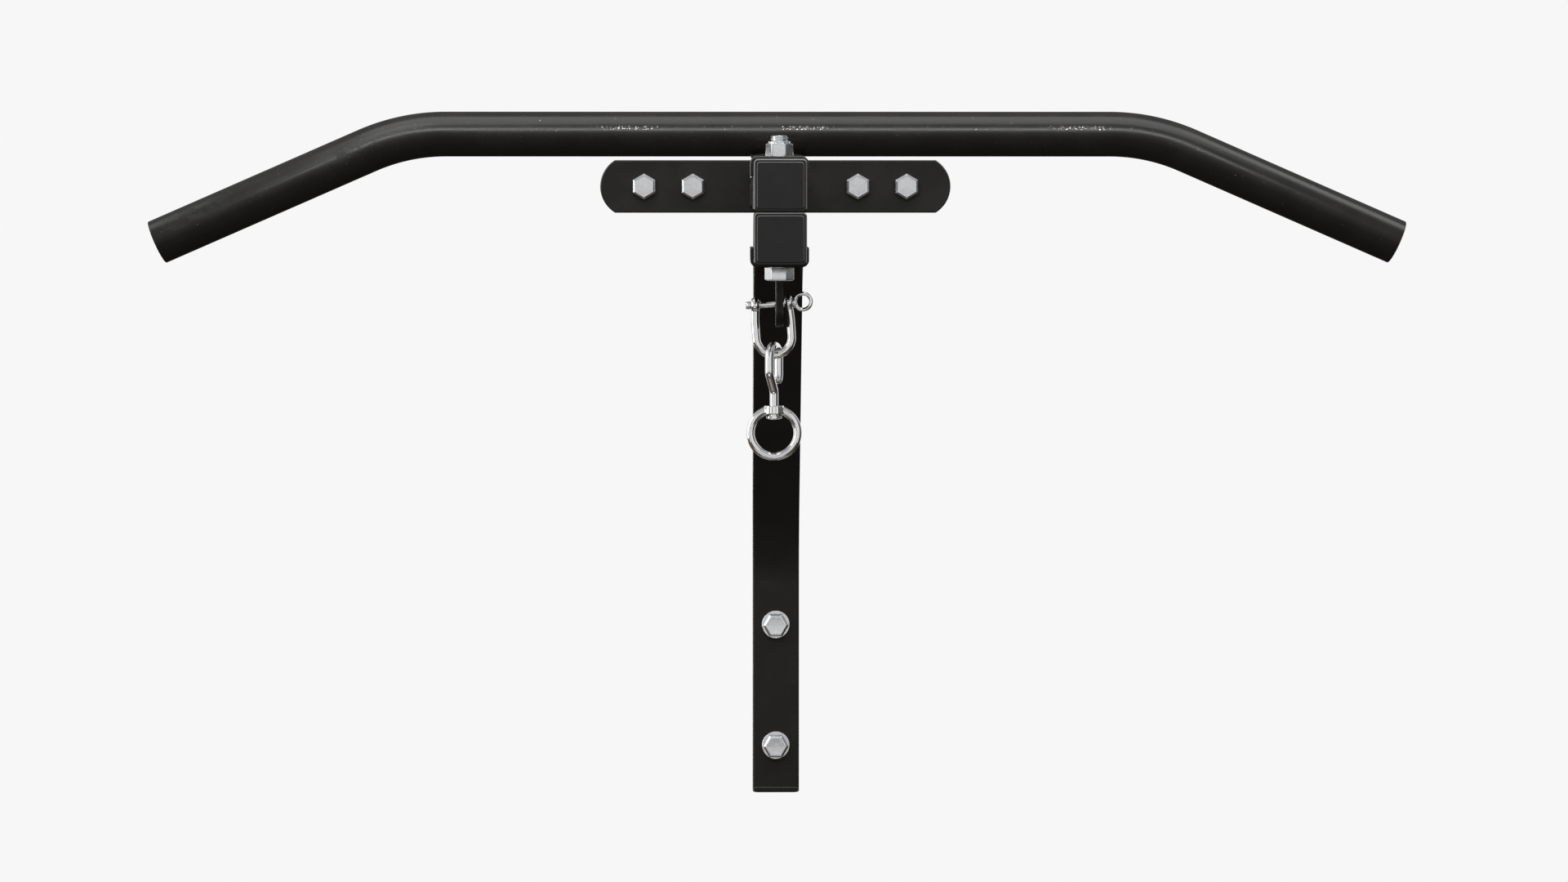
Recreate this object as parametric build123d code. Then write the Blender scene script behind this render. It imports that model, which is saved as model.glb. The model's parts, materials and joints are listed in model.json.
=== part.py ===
from build123d import *
import math
import os

# Wall bracket with a bent pull-up bar on top and a swivelling hanger for a punch bag.
# Frame: origin on the wall, behind the middle of the wall plate. +X right, +Y into the
# wall, +Z up, so the bracket reaches out along -Y. All sizes are in millimetres.

OUT_DIR = "parts"

# Square tube of the arm and the brace
TUBE = 40.0
TUBE_WALL = 2.0
TUBE_CORNER = 3.0
TUBE_GAP = 0.3
REACH = 450.5
CAP_FLANGE = 4.5
BRACE_TOP_Z = -TUBE / 2 - TUBE_GAP
BRACE_MID_Z = BRACE_TOP_Z - TUBE / 2
BRACE_END_Z = -517.4
BRACE_LEAN = 41.2
BRACE_BEND = 120.0
BRACE_CORNER_Z = -301.0

# Plastic end caps of the square tubes
CAP_PLUG = TUBE - 2 * TUBE_WALL - 0.2
CAP_PLUG_WALL = 2.5
CAP_PLUG_DEPTH = 16.0
CAP_PLUG_CORNER = 0.8
CAP_PLUG_INNER_CORNER = 0.5
CAP_EDGE = 0.9
CAP_SEAM = 0.5
CAP_PAD = 35.4
CAP_PAD_STEP = 0.5
CAP_PAD_CORNER = 2.0
CAP_PAD_EDGE = 0.35

# Wall plate and its four coach screws
PLATE_LENGTH = 302.7
PLATE_HEIGHT = 45.5
PLATE_THICK = 5.0
PLATE_END_RADIUS = 26.6
PLATE_CORNER = 2.0
PLATE_EDGE = 0.8
SCREW_XS = (-113.3, -71.2, 71.2, 113.3)
SCREW_SHANK = 12.0
SCREW_NECK = 12.6
SCREW_HOLE = 13.0
SCREW_POINT = 12.0
SCREW_TIP_RADIUS = 0.6
HEX_AF = 19.4
SCREW_HEAD = 8.0
SCREW_BEVEL = 1.6
PLATE_SCREW_TURN = 30.0
PLATE_SCREW_REACH = 65.0

# Foot of the brace
FOOT_SCREW_ZS = (-376.3, -480.9)
FOOT_SCREW_REACH = 65.0
FOOT_HEX_AF = 19.0
FOOT_SCREW_TURN = 0.0
WASHER_OUTER = 24.0
WASHER_THICK = 2.5
WASHER_EDGE = 0.6

# Weld beads
PLATE_BEAD = 2.4
PLATE_BEAD_LONG = 3.0
PLATE_BEAD_TOE = 0.3
BEAD = 2.5
BEAD_SET_BACK = 3.0

# Through bolt that clamps the arm to the brace, with its saddles
BOLT_Y = -360.0
BOLT_SHANK = 13.8
BOLT_HOLE = 15.0
BOLT_TOP_Z = 38.8
BOLT_END_BEVEL = 0.8
BOLT_HEAD_AF = 19.9
BOLT_HEAD_HIGH = 10.4
BOLT_SEAT_HIGH = 0.5
BOLT_SEAT_DIAMETER = 18.5
BOLT_HEAD_TURN = -3.0
SADDLE_WIDE = 45.4
SADDLE_THICK = 2.5
SADDLE_HIGH = 15.0
SADDLE_CORNER = 5.6
SADDLE_EDGE = 0.45
SADDLE_FRONT_Y = -385.0
TOP_SADDLE_LONG = 50.0
BOTTOM_SADDLE_LONG = 80.0
NUT_AF = 19.0
NUT_HEX_HIGH = 10.0
NUT_TURN = -4.5
NUT_BEVEL = 1.0
NUT_COLLAR_HIGH = 2.0
NUT_COLLAR_DIAMETER = 17.6
NUT_COLLAR_EDGE = 0.8
NUT_BORE = 14.0
INSERT_OUTER = 16.0
INSERT_HIGH = 1.5

# Pull-up bar and its bracket
BAR_DIAMETER = 36.0
BAR_WALL = 2.5
BAR_Y = -245.0
BAR_Z = 41.6
BAR_BEND_X = 299.6
BAR_END_X = 498.9
BAR_END_Z = -45.2
BAR_BEND = 158.0
BAR_PLUG_LONG = 12.0
BAR_PLUG_SET_IN = 0.6
BAR_PLUG_FLOOR = 2.5
BAR_PLUG_WALL = 2.0
BAR_PLUG_PLAY = 0.1
BRACKET_LONG = 50.0
BRACKET_CORNER = 5.4
BRACKET_FOOT = 9.5
BAR_BEAD_OFFSET = 8.4
BAR_BEAD_RADIUS = 2.6
BAR_BEAD_END = 2.0

# Lug under the bottom saddle
LUG_Y = -330.0
LUG_X = 0.3
LUG_THICK = 6.0
LUG_WIDE = 34.0
LUG_END_Z = -111.2
LUG_CORNER = 13.0
LUG_EDGE = 0.8
LUG_HOLE = 9.4
LUG_HOLE_Z = -90.9

# Shackle, hanging a little askew on the lug
SHACKLE_X = -5.73
SHACKLE_Z = -92.36
SHACKLE_TILT = 4.0
EAR_X = 13.15
EAR_DIAMETER = 11.6
EAR_THICK = 6.8
EAR_EDGE = 2.2
LEG_TOP_Z = -3.0
LEG_BEND = 40.0
BOW_HALF = 14.0
BOW_ROD = 6.5
BOW_SHOULDER_Z = -15.0
BOW_ARC_Z = -26.2
PIN_DIAMETER = 6.4
PIN_HOLE = 6.5
PIN_END_X = -20.6
PIN_END_BEVEL = 0.6
PIN_SHOULDER_DIAMETER = 8.6
PIN_SHOULDER_X = 18.6
PIN_SHOULDER_PLAY = 0.15
PIN_SHOULDER_EDGE = 0.5
EYE_X = 24.6
EYE_MEAN_RADIUS = 6.3
EYE_ROD = 3.1

# Swivel hook and ring
HOOK_X = -3.85
HOOK_ROD = 6.8
HOOK_TURN = 24.0
HOOK_LOOP_RADIUS = 9.2
HOOK_LOOP_Z = -134.4
HOOK_KNEE_Z = -147.0
HOOK_SHANK_Z = -161.0
HOOK_BEND = 9.0
HOOK_REAR_Z = -147.5
HOOK_TIP_ANGLE = 45.0
SHANK_END_Z = -183.1
SHANK_BEVEL = 0.5
COLLAR_DIAMETER = 12.8
COLLAR_TOP_Z = -180.1
COLLAR_HIGH = 2.6
COLLAR_EDGE = 0.5
RING_Z = -193.7
RING_MEAN_RADIUS = 18.55
RING_ROD = 6.6
BOSS_DIAMETER = 15.4
BOSS_TOP_Z = -172.6
BOSS_HIGH = 7.2
BOSS_EDGE = 1.0
BOSS_BORE = 6.95


def rounded_rod(diameter, start, direction, length):
    """Solid cylinder from a start point along a direction."""
    plane = Plane(origin=start, z_dir=direction)
    return extrude(plane * Circle(diameter / 2), length)


def hexagon(across_flats, turn):
    """Hexagon with flats at the sides, turned by an angle in degrees."""
    return RegularPolygon(across_flats / 2, 6, major_radius=False, rotation=turn)


def hex_block(plane, across_flats, high, turn, bevel):
    """Hexagon block with a bevel around its outer end."""
    block = extrude(plane * hexagon(across_flats, turn), high)
    outer_end = block.faces().sort_by(Axis(plane.origin, plane.z_dir))[-1]
    return chamfer(outer_end.edges(), bevel)


def hollow_square(plane, outer, wall, corner):
    """Section of a square tube with rounded corners."""
    inner = outer - 2 * wall
    section = RectangleRounded(outer, outer, corner)
    section -= RectangleRounded(inner, inner, corner - wall)
    return plane * section


def swept(section_plane, shape, path):
    """Sweep a flat shape, placed on a plane, along a path."""
    return sweep(section_plane * shape, path=path)


def holes_along(axis_dir, points, diameter, depth):
    """Round cutters that start at each point and run along a direction."""
    cutters = [rounded_rod(diameter, point, axis_dir, depth) for point in points]
    return Compound(children=cutters)


def save(node, shape):
    """Write one sub-part as a STEP file."""
    export_step(shape, os.path.join(OUT_DIR, node + ".step"))


def save_group(node, solids):
    """Write several equal pieces as one sub-part."""
    save(node, Compound(children=solids))


def make_wall_plate():
    """Flat bar with rounded ends and four screw holes."""
    half_chord = math.sqrt(PLATE_END_RADIUS ** 2 - (PLATE_HEIGHT / 2) ** 2)
    centre_x = PLATE_LENGTH / 2 - PLATE_END_RADIUS
    flat_x = centre_x + half_chord
    top = PLATE_HEIGHT / 2
    end_x = PLATE_LENGTH / 2
    outline = [
        Line((-flat_x, top), (flat_x, top)),
        ThreePointArc((flat_x, top), (end_x, 0), (flat_x, -top)),
        Line((flat_x, -top), (-flat_x, -top)),
        ThreePointArc((-flat_x, -top), (-end_x, 0), (-flat_x, top)),
    ]
    face = make_face(Plane.XZ * Curve(children=outline))
    plate = extrude(face, PLATE_THICK, dir=(0, -1, 0))
    corners = plate.edges().filter_by(Axis.Y)
    plate = fillet(corners, PLATE_CORNER)
    front = plate.faces().sort_by(Axis.Y)[0]
    plate = chamfer(front.edges(), PLATE_EDGE)
    points = [(x, 1, 0) for x in SCREW_XS]
    return plate - holes_along((0, -1, 0), points, SCREW_HOLE, PLATE_THICK + 2)


def coach_screw(x, z, seat_y, reach, across_flats, turn):
    """Coach screw with its head on a seat and its point in the wall."""
    seat = Plane(origin=(x, seat_y, z), x_dir=(1, 0, 0), z_dir=(0, -1, 0))
    head = hex_block(seat, across_flats, SCREW_HEAD, turn, SCREW_BEVEL)
    neck = rounded_rod(SCREW_NECK, (x, seat_y, z), (0, 1, 0), -seat_y)
    shank = rounded_rod(SCREW_SHANK, (x, 0, z), (0, 1, 0), reach - SCREW_POINT)
    wall_side = Plane(origin=(x, reach - SCREW_POINT, z), z_dir=(0, 1, 0))
    tip = loft([wall_side * Circle(SCREW_SHANK / 2),
                wall_side.offset(SCREW_POINT) * Circle(SCREW_TIP_RADIUS)])
    return head + neck + shank + tip


def make_plate_screws():
    """Four coach screws through the wall plate, one corner of each head upwards."""
    return [coach_screw(x, 0, -PLATE_THICK, PLATE_SCREW_REACH, HEX_AF, PLATE_SCREW_TURN)
            for x in SCREW_XS]


def make_foot_screws():
    """Two coach screws through the foot of the brace."""
    seat_y = -TUBE - WASHER_THICK
    return [coach_screw(0, z, seat_y, FOOT_SCREW_REACH, FOOT_HEX_AF, FOOT_SCREW_TURN)
            for z in FOOT_SCREW_ZS]


def make_foot_washers():
    """Round washers under the foot screws."""
    washers = []
    for z in FOOT_SCREW_ZS:
        face = Plane(origin=(0, -TUBE, z), z_dir=(0, -1, 0))
        ring = extrude(face * (Circle(WASHER_OUTER / 2) - Circle(SCREW_HOLE / 2)), WASHER_THICK)
        front = ring.faces().sort_by(Axis.Y)[0]
        washers.append(fillet(front.outer_wire().edges(), WASHER_EDGE))
    return washers


def make_arm_tube():
    """Straight square tube from the wall plate to the front."""
    start = Plane(origin=(0, -PLATE_THICK, 0), z_dir=(0, -1, 0))
    tube = extrude(hollow_square(start, TUBE, TUBE_WALL, TUBE_CORNER), REACH - PLATE_THICK)
    points = [(0, BOLT_Y, -TUBE)]
    return tube - holes_along((0, 0, 1), points, BOLT_HOLE, 2 * TUBE)


def brace_path():
    """Centre line of the brace: foot, leaning part and level part."""
    mid_y = -TUBE / 2
    lean = math.radians(BRACE_LEAN)
    low_z = BRACE_CORNER_Z + TUBE / 2 * math.tan(lean / 2)
    high_y = mid_y - (BRACE_MID_Z - low_z) * math.tan(lean)
    return FilletPolyline(
        (0, mid_y, BRACE_END_Z),
        (0, mid_y, low_z),
        (0, high_y, BRACE_MID_Z),
        (0, -REACH, BRACE_MID_Z),
        radius=BRACE_BEND,
    )


def make_brace_tube():
    """Bent square tube with two screw holes in its foot and one bolt hole near the front."""
    path = brace_path()
    start = Plane(origin=(0, -TUBE / 2, BRACE_END_Z), x_dir=(1, 0, 0), z_dir=(0, 0, 1))
    inner = TUBE - 2 * TUBE_WALL
    outside = swept(start, RectangleRounded(TUBE, TUBE, TUBE_CORNER), path)
    inside = swept(start, RectangleRounded(inner, inner, TUBE_CORNER - TUBE_WALL), path)
    tube = outside - inside
    foot_points = [(0, 1, z) for z in FOOT_SCREW_ZS]
    tube -= holes_along((0, -1, 0), foot_points, SCREW_HOLE, TUBE + 2)
    bolt_points = [(0, BOLT_Y, BRACE_MID_Z - TUBE)]
    return tube - holes_along((0, 0, 1), bolt_points, BOLT_HOLE, 2 * TUBE)


def rim_edges(solid, plane, end):
    """Edges round the near (0) or far (-1) end of a solid, along a plane's normal."""
    return solid.edges().group_by(lambda edge: plane.to_local_coords(edge).center().Z)[end]


def tube_cap(plane):
    """Plastic cap: flange with a raised pad outside, hollow plug inside the tube."""
    flange = extrude(plane * RectangleRounded(TUBE, TUBE, TUBE_CORNER), CAP_FLANGE)
    flange = chamfer(rim_edges(flange, plane, -1), CAP_EDGE)
    flange = chamfer(rim_edges(flange, plane, 0), CAP_SEAM)
    pad_plane = plane.offset(CAP_FLANGE)
    pad = extrude(pad_plane * RectangleRounded(CAP_PAD, CAP_PAD, CAP_PAD_CORNER), CAP_PAD_STEP)
    pad = chamfer(rim_edges(pad, plane, -1), CAP_PAD_EDGE)
    inner = CAP_PLUG - 2 * CAP_PLUG_WALL
    plug_face = RectangleRounded(CAP_PLUG, CAP_PLUG, CAP_PLUG_CORNER)
    plug_face -= RectangleRounded(inner, inner, CAP_PLUG_INNER_CORNER)
    plug = extrude(plane * plug_face, -CAP_PLUG_DEPTH)
    return flange + pad + plug


def soften_ends(strap):
    """Bevel the rims of a strap's front and back ends."""
    ends = strap.faces().filter_by(Axis.Y).sort_by(Axis.Y)
    rims = [edge for face in (ends[0], ends[-1]) for edge in face.outer_wire().edges()]
    return chamfer(rims, SADDLE_EDGE)


def make_saddle(top_z, long, up):
    """Bent sheet strap that hugs one side of a tube, with a bolt hole near its front."""
    sign = 1 if up else -1
    inner_wide = SADDLE_WIDE - 2 * SADDLE_THICK
    front = Plane(origin=(0, SADDLE_FRONT_Y, top_z), x_dir=(-1, 0, 0), z_dir=(0, 1, 0))
    mid_v = sign * (SADDLE_HIGH - SADDLE_THICK)
    outer = Pos(0, mid_v) * RectangleRounded(SADDLE_WIDE, 2 * SADDLE_HIGH, SADDLE_CORNER)
    inner_corner = SADDLE_CORNER - SADDLE_THICK
    inner_high = 2 * (SADDLE_HIGH - SADDLE_THICK)
    inner = Pos(0, mid_v) * RectangleRounded(inner_wide, inner_high, inner_corner)
    open_side = Pos(0, mid_v + sign * SADDLE_HIGH) * Rectangle(SADDLE_WIDE + 2, 2 * SADDLE_HIGH)
    strap = soften_ends(extrude(front * (outer - inner - open_side), long))
    points = [(0, BOLT_Y, top_z - TUBE)]
    return strap - holes_along((0, 0, 1), points, BOLT_HOLE, 2 * TUBE)


def make_hanger_bolt():
    """Long bolt with its head below the brace and its thread above the arm."""
    seat_z = BRACE_TOP_Z - TUBE - SADDLE_THICK
    seat = Plane(origin=(0, BOLT_Y, seat_z), x_dir=(1, 0, 0), z_dir=(0, 0, -1))
    collar = extrude(seat * Circle(BOLT_SEAT_DIAMETER / 2), BOLT_SEAT_HIGH)
    head_plane = seat.offset(BOLT_SEAT_HIGH)
    head = hex_block(head_plane, BOLT_HEAD_AF, BOLT_HEAD_HIGH, BOLT_HEAD_TURN, NUT_BEVEL)
    shank = rounded_rod(BOLT_SHANK, (0, BOLT_Y, seat_z), (0, 0, 1), BOLT_TOP_Z - seat_z)
    end = shank.edges().sort_by(Axis.Z)[-1]
    return collar + head + chamfer(end, BOLT_END_BEVEL)


def make_lock_nut():
    """Hexagon nut with a turned collar that holds a nylon ring."""
    seat = Plane(origin=(0, BOLT_Y, TUBE / 2 + SADDLE_THICK), x_dir=(1, 0, 0), z_dir=(0, 0, 1))
    body = hex_block(seat, NUT_AF, NUT_HEX_HIGH, NUT_TURN, NUT_BEVEL)
    collar = extrude(seat * Circle(NUT_COLLAR_DIAMETER / 2), NUT_HEX_HIGH + NUT_COLLAR_HIGH)
    collar = fillet(collar.edges().sort_by(Axis.Z)[-1], NUT_COLLAR_EDGE)
    bore = extrude(seat * Circle(NUT_BORE / 2), NUT_HEX_HIGH + NUT_COLLAR_HIGH)
    recess_plane = seat.offset(NUT_HEX_HIGH)
    recess = extrude(recess_plane * Circle(INSERT_OUTER / 2), INSERT_HIGH)
    return body + collar - bore - recess


def make_nut_insert():
    """Nylon ring inside the lock nut's collar."""
    low_z = TUBE / 2 + SADDLE_THICK + NUT_HEX_HIGH
    plane = Plane(origin=(0, BOLT_Y, low_z), z_dir=(0, 0, 1))
    return extrude(plane * (Circle(INSERT_OUTER / 2) - Circle(NUT_BORE / 2)), INSERT_HIGH)


def bar_path():
    """Centre line of the pull-up bar."""
    return FilletPolyline(
        (-BAR_END_X, BAR_Y, BAR_END_Z),
        (-BAR_BEND_X, BAR_Y, BAR_Z),
        (BAR_BEND_X, BAR_Y, BAR_Z),
        (BAR_END_X, BAR_Y, BAR_END_Z),
        radius=BAR_BEND,
    )


def bar_end_plane(side):
    """Plane on one end of the bar, facing along the bar towards its middle."""
    along = Vector(side * (BAR_BEND_X - BAR_END_X), 0, BAR_Z - BAR_END_Z).normalized()
    return Plane(origin=(side * BAR_END_X, BAR_Y, BAR_END_Z), x_dir=(0, 1, 0), z_dir=along)


def make_bar_tube():
    """Round tube bent down at both ends."""
    path = bar_path()
    start = bar_end_plane(-1)
    outside = swept(start, Circle(BAR_DIAMETER / 2), path)
    inside = swept(start, Circle(BAR_DIAMETER / 2 - BAR_WALL), path)
    return outside - inside


def make_bar_plugs():
    """Plastic plugs set just inside both ends of the bar."""
    radius = BAR_DIAMETER / 2 - BAR_WALL - BAR_PLUG_PLAY
    plugs = []
    for side in (-1, 1):
        plane = bar_end_plane(side).offset(BAR_PLUG_SET_IN)
        plug = extrude(plane * Circle(radius), BAR_PLUG_LONG)
        hollow = plane.offset(BAR_PLUG_FLOOR) * Circle(radius - BAR_PLUG_WALL)
        plug -= extrude(hollow, BAR_PLUG_LONG)
        plugs.append(plug)
    return plugs


def make_bar_bracket():
    """Bent strap over the arm that carries the bar."""
    thick = BAR_Z - BAR_DIAMETER / 2 - TUBE / 2
    inner_wide = SADDLE_WIDE - 2 * SADDLE_THICK
    front = Plane(origin=(0, BAR_Y - BRACKET_LONG / 2, TUBE / 2), x_dir=(-1, 0, 0),
                  z_dir=(0, 1, 0))
    drop = SADDLE_HIGH - SADDLE_THICK
    outer = Pos(0, (thick - drop) / 2)
    outer = outer * RectangleRounded(SADDLE_WIDE, thick + drop, BRACKET_CORNER)
    square_foot = Pos(0, BRACKET_FOOT / 2 - drop) * Rectangle(SADDLE_WIDE, BRACKET_FOOT)
    inner = Pos(0, -TUBE / 2) * RectangleRounded(inner_wide, TUBE, TUBE_CORNER)
    return soften_ends(extrude(front * (outer + square_foot - inner), BRACKET_LONG))


def make_bar_welds():
    """Two beads that join the bar to its bracket, front and back."""
    top_z = BAR_Z - BAR_DIAMETER / 2
    half = SADDLE_WIDE / 2 - SADDLE_EDGE * 2
    start = (-half, 0, 0)
    beads = []
    for side in (-1, 1):
        y = BAR_Y + side * BAR_BEAD_OFFSET
        bead = Pos(0, y, top_z) * rounded_rod(2 * BAR_BEAD_RADIUS, start, (1, 0, 0), 2 * half)
        bead = fillet(bead.edges().filter_by(GeomType.CIRCLE), BAR_BEAD_END)
        below = Pos(0, BAR_Y, top_z - TUBE / 2) * Box(SADDLE_WIDE, TUBE, TUBE)
        bar = rounded_rod(BAR_DIAMETER, (-TUBE, BAR_Y, BAR_Z), (1, 0, 0), 2 * TUBE)
        beads.append(bead - below - bar)
    return beads


def make_bracket_welds():
    """Two beads along the bracket's lower edges on the sides of the arm."""
    low_z = TUBE / 2 - SADDLE_HIGH + SADDLE_THICK
    half = BRACKET_LONG / 2 - BEAD_SET_BACK
    beads = []
    for side in (-1, 1):
        corner = Plane(origin=(side * TUBE / 2, BAR_Y - half, low_z), x_dir=(side, 0, 0),
                       z_dir=(0, side, 0))
        v = -BEAD if corner.y_dir.Z > 0 else BEAD
        section = make_face(Polyline((0, 0), (BEAD, 0), (0, v), close=True))
        beads.append(extrude(corner * section, side * 2 * half))
    return beads


def make_arm_weld():
    """Bead around the arm where it meets the wall plate."""
    base = Plane(origin=(0, -PLATE_THICK, 0), z_dir=(0, -1, 0))
    wide = TUBE + 2 * PLATE_BEAD
    near = base * RectangleRounded(wide, wide, TUBE_CORNER + PLATE_BEAD)
    far_plane = base.offset(PLATE_BEAD_LONG)
    toe = TUBE + 2 * PLATE_BEAD_TOE
    far = far_plane * RectangleRounded(toe, toe, TUBE_CORNER + PLATE_BEAD_TOE)
    tube = extrude(base * RectangleRounded(TUBE, TUBE, TUBE_CORNER), PLATE_BEAD_LONG)
    return loft([near, far]) - tube


def make_lug():
    """Flat lug with rounded lower corners and a hole for the shackle pin."""
    top_z = BRACE_TOP_Z - TUBE - SADDLE_THICK
    high = top_z - LUG_END_Z
    side = Plane(origin=(LUG_X - LUG_THICK / 2, LUG_Y, top_z), x_dir=(0, 1, 0),
                 z_dir=(1, 0, 0))
    lower = Pos(0, -high / 2) * RectangleRounded(LUG_WIDE, high, LUG_CORNER)
    square_top = Pos(0, -high / 4) * Rectangle(LUG_WIDE, high / 2)
    hole = Pos(0, LUG_HOLE_Z - top_z) * Circle(LUG_HOLE / 2)
    lug = extrude(side * (lower + square_top - hole), LUG_THICK)
    rims = lug.faces().filter_by(Axis.X)
    low_edges = [edge for face in rims for edge in face.outer_wire().edges()
                 if edge.center().Z < top_z - 1]
    return chamfer(low_edges, LUG_EDGE)


def make_lug_welds():
    """Beads on both sides of the lug under the saddle."""
    top_z = BRACE_TOP_Z - TUBE - SADDLE_THICK
    beads = []
    for side in (-1, 1):
        start = Plane(origin=(LUG_X + side * LUG_THICK / 2, LUG_Y, top_z),
                      x_dir=(1, 0, 0), z_dir=(0, -1, 0))
        section = make_face(Polyline((0, 0), (side * BEAD, 0), (0, -BEAD), close=True))
        beads.append(extrude(start * section, LUG_WIDE / 2 - BEAD_SET_BACK / 2, both=True))
    return beads


def shackle_place():
    """Location of the shackle's own frame: X along the pin, Z towards the lug's top."""
    return Pos(SHACKLE_X, LUG_Y, SHACKLE_Z) * Rot(0, -SHACKLE_TILT, 0)


def make_shackle_bow():
    """Round rod bent to a U, with a bored ear at each end."""
    left_leg = FilletPolyline(
        (-EAR_X, 0, LEG_TOP_Z),
        (-BOW_HALF, 0, BOW_SHOULDER_Z),
        (-BOW_HALF, 0, BOW_ARC_Z),
        radius=LEG_BEND,
    )
    arc = ThreePointArc((-BOW_HALF, 0, BOW_ARC_Z), (0, 0, BOW_ARC_Z - BOW_HALF),
                        (BOW_HALF, 0, BOW_ARC_Z))
    right_leg = mirror(left_leg, about=Plane.YZ)
    path = Wire(left_leg.edges() + arc.edges() + right_leg.edges())
    lean = Vector(EAR_X - BOW_HALF, 0, BOW_SHOULDER_Z - LEG_TOP_Z)
    start = Plane(origin=(-EAR_X, 0, LEG_TOP_Z), x_dir=(0, 1, 0), z_dir=lean)
    bow = swept(start, Circle(BOW_ROD / 2), path)
    for side in (-1, 1):
        low = (side * EAR_X - EAR_THICK / 2, 0, 0)
        ear = rounded_rod(EAR_DIAMETER, low, (1, 0, 0), EAR_THICK)
        bow += fillet(ear.edges().filter_by(GeomType.CIRCLE), EAR_EDGE)
    points = [(-2 * EAR_X, 0, 0)]
    bow -= holes_along((1, 0, 0), points, PIN_HOLE, 4 * EAR_X)
    return shackle_place() * bow


def make_shackle_pin():
    """Screw pin with a shoulder and an eye to turn it by."""
    shank = rounded_rod(PIN_DIAMETER, (PIN_END_X, 0, 0), (1, 0, 0), PIN_SHOULDER_X - PIN_END_X)
    shank = chamfer(shank.edges().filter_by(GeomType.CIRCLE).sort_by(Axis.X)[0], PIN_END_BEVEL)
    seat_x = EAR_X + EAR_THICK / 2 + PIN_SHOULDER_PLAY
    shoulder = rounded_rod(PIN_SHOULDER_DIAMETER, (seat_x, 0, 0), (1, 0, 0),
                           PIN_SHOULDER_X - seat_x)
    shoulder = fillet(shoulder.edges().filter_by(GeomType.CIRCLE), PIN_SHOULDER_EDGE)
    eye = Pos(EYE_X, 0, 0) * Rot(90, 0, 0) * Torus(EYE_MEAN_RADIUS, EYE_ROD / 2)
    return shackle_place() * (shank + shoulder + eye)


def hook_plane():
    """Plane of the hook: local X runs back and to the right, local Y is up."""
    turn = math.radians(HOOK_TURN)
    back = (math.sin(turn), math.cos(turn), 0)
    normal = (math.cos(turn), -math.sin(turn), 0)
    return Plane(origin=(HOOK_X, LUG_Y, 0), x_dir=back, z_dir=normal)


def make_swivel_hook():
    """Open hook of round rod whose straight shank carries the ring."""
    plane = hook_plane()
    radius = HOOK_LOOP_RADIUS
    tip = math.radians(HOOK_TIP_ANGLE)
    half_tip = tip / 2
    centre_x = radius - HOOK_BEND
    front = FilletPolyline(
        (0, SHANK_END_Z),
        (0, HOOK_SHANK_Z),
        (-radius, HOOK_KNEE_Z),
        (-radius, HOOK_LOOP_Z),
        radius=HOOK_BEND,
    )
    top = ThreePointArc((-radius, HOOK_LOOP_Z), (0, HOOK_LOOP_Z + radius), (radius, HOOK_LOOP_Z))
    rear = Line((radius, HOOK_LOOP_Z), (radius, HOOK_REAR_Z))
    curl = ThreePointArc(
        (radius, HOOK_REAR_Z),
        (centre_x + HOOK_BEND * math.cos(half_tip), HOOK_REAR_Z - HOOK_BEND * math.sin(half_tip)),
        (centre_x + HOOK_BEND * math.cos(tip), HOOK_REAR_Z - HOOK_BEND * math.sin(tip)),
    )
    edges = front.edges() + top.edges() + rear.edges() + curl.edges()
    path = plane * Wire(edges)
    start = Plane(origin=(HOOK_X, LUG_Y, SHANK_END_Z), z_dir=(0, 0, 1))
    hook = swept(start, Circle(HOOK_ROD / 2), path)
    ends = hook.edges().filter_by(GeomType.CIRCLE).sort_by(Axis.Z)
    return chamfer(ends[0], SHANK_BEVEL)


def make_swivel_collar():
    """Collar riveted on the shank's end, under the ring's boss."""
    plane = Plane(origin=(HOOK_X, LUG_Y, COLLAR_TOP_Z), z_dir=(0, 0, -1))
    collar = extrude(plane * Circle(COLLAR_DIAMETER / 2), COLLAR_HIGH)
    collar = fillet(collar.edges().filter_by(GeomType.CIRCLE), COLLAR_EDGE)
    bore = extrude(plane * Circle(HOOK_ROD / 2), COLLAR_HIGH)
    return collar - bore


def make_swivel_ring():
    """Round ring with a bored boss at its top."""
    ring = Pos(HOOK_X, LUG_Y, RING_Z) * Rot(90, 0, 0) * Torus(RING_MEAN_RADIUS, RING_ROD / 2)
    plane = Plane(origin=(HOOK_X, LUG_Y, BOSS_TOP_Z), z_dir=(0, 0, -1))
    boss = extrude(plane * Circle(BOSS_DIAMETER / 2), BOSS_HIGH)
    boss = fillet(boss.edges().filter_by(GeomType.CIRCLE), BOSS_EDGE)
    bore = extrude(plane.offset(-BOSS_HIGH) * Circle(BOSS_BORE / 2), 3 * BOSS_HIGH)
    return ring + boss - bore


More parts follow.
